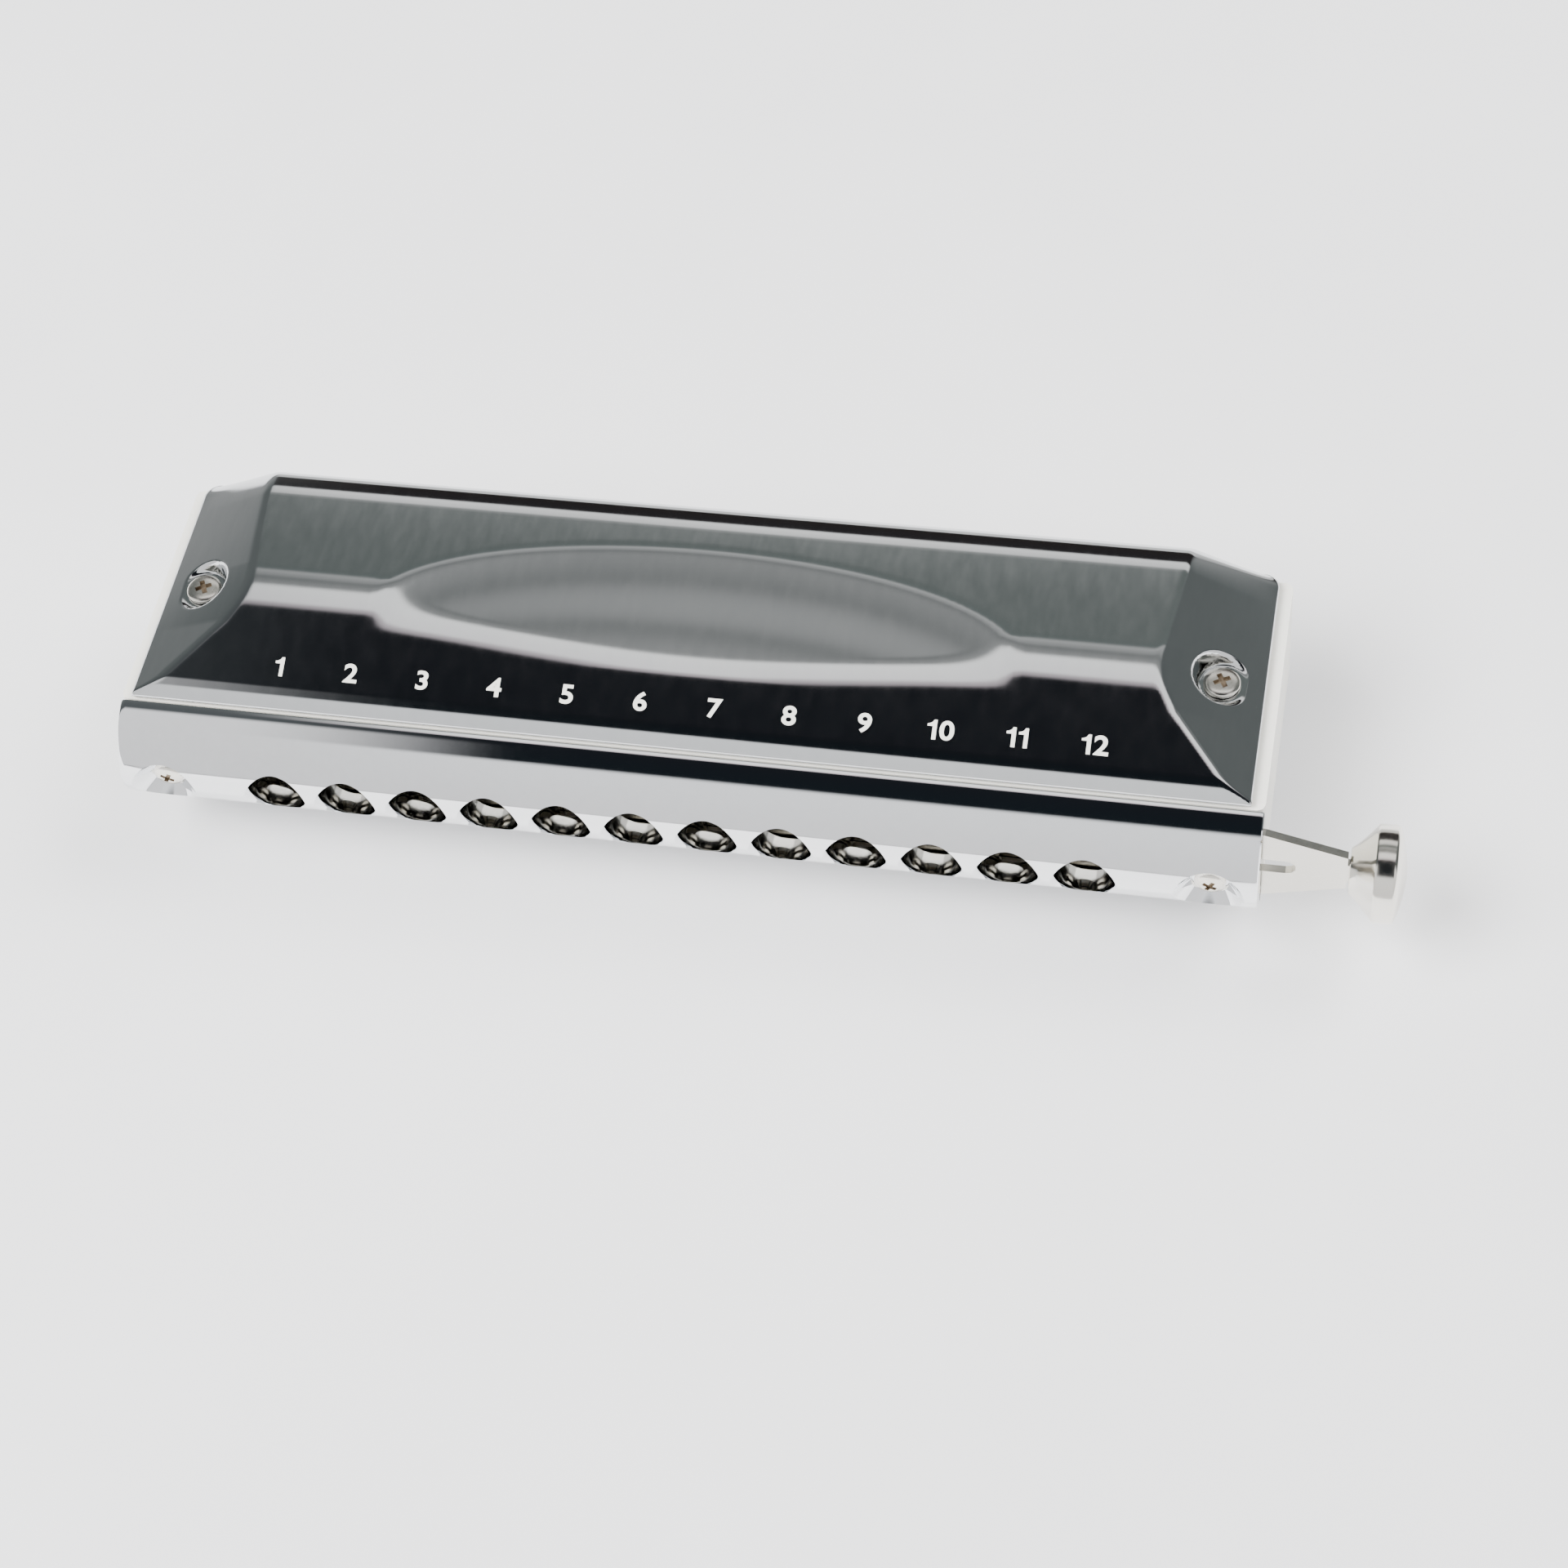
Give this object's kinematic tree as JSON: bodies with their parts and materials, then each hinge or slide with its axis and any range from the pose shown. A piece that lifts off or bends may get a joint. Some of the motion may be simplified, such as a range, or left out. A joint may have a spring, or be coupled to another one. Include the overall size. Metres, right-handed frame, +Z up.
{
  "type": "chromatic harmonica",
  "caption": "Chromatic harmonica with a chromed mouthpiece, dark mirror covers, a cream comb, reed plates and a sprung slide moved by an end button.",
  "frame": {"origin": "bottom centre of the box around the instrument, on the flat back of the lower cover", "axes": "+X along the instrument towards the slide button, +Y from the mouthpiece to the open back, +Z up"},
  "size_m": [0.1588, 0.0415, 0.03],
  "materials": {
    "mouthpiece": "bright polished chrome",
    "cover": "black nickel mirror",
    "slide": "warm satin nickel",
    "fastener": "nickel plated",
    "comb": "moulded cream plastic",
    "reed_plate": "milled brass",
    "reed": "rolled brass",
    "spring": "spring steel wire"
  },
  "bodies": {
    "body": {"comb": "comb", "cover_nut_left": "fastener", "cover_nut_right": "fastener", "cover_screw_left": "fastener", "cover_screw_right": "fastener", "lower_cover": "cover", "lower_plate_screw_1": "fastener", "lower_plate_screw_2": "fastener", "lower_plate_screw_3": "fastener", "lower_plate_screw_4": "fastener", "lower_plate_screw_5": "fastener", "lower_reed_01": "reed", "lower_reed_02": "reed", "lower_reed_03": "reed", "lower_reed_04": "reed", "lower_reed_05": "reed", "lower_reed_06": "reed", "lower_reed_07": "reed", "lower_reed_08": "reed", "lower_reed_09": "reed", "lower_reed_10": "reed", "lower_reed_11": "reed", "lower_reed_12": "reed", "lower_reed_plate": "reed_plate", "mouthpiece": "mouthpiece", "mouthpiece_screw_left": "fastener", "mouthpiece_screw_right": "fastener", "slide_back_plate": "slide", "slide_front_plate": "slide", "slide_spring": "spring", "upper_cover": "cover", "upper_plate_screw_1": "fastener", "upper_plate_screw_2": "fastener", "upper_plate_screw_3": "fastener", "upper_plate_screw_4": "fastener", "upper_plate_screw_5": "fastener", "upper_reed_01": "reed", "upper_reed_02": "reed", "upper_reed_03": "reed", "upper_reed_04": "reed", "upper_reed_05": "reed", "upper_reed_06": "reed", "upper_reed_07": "reed", "upper_reed_08": "reed", "upper_reed_09": "reed", "upper_reed_10": "reed", "upper_reed_11": "reed", "upper_reed_12": "reed", "upper_reed_plate": "reed_plate"},
    "slide_carriage": {"slide": "slide", "button": "slide", "button_pin": "spring"}
  },
  "joints": [
    {"name": "slide_press", "type": "slide", "parent": "body", "child": "slide_carriage", "axis": [-1, 0, 0], "range_m": [0, 0.0043], "stiffness_N_per_m": 200, "springref_m": -0.004, "deforming": ["slide_spring"]}
  ]
}
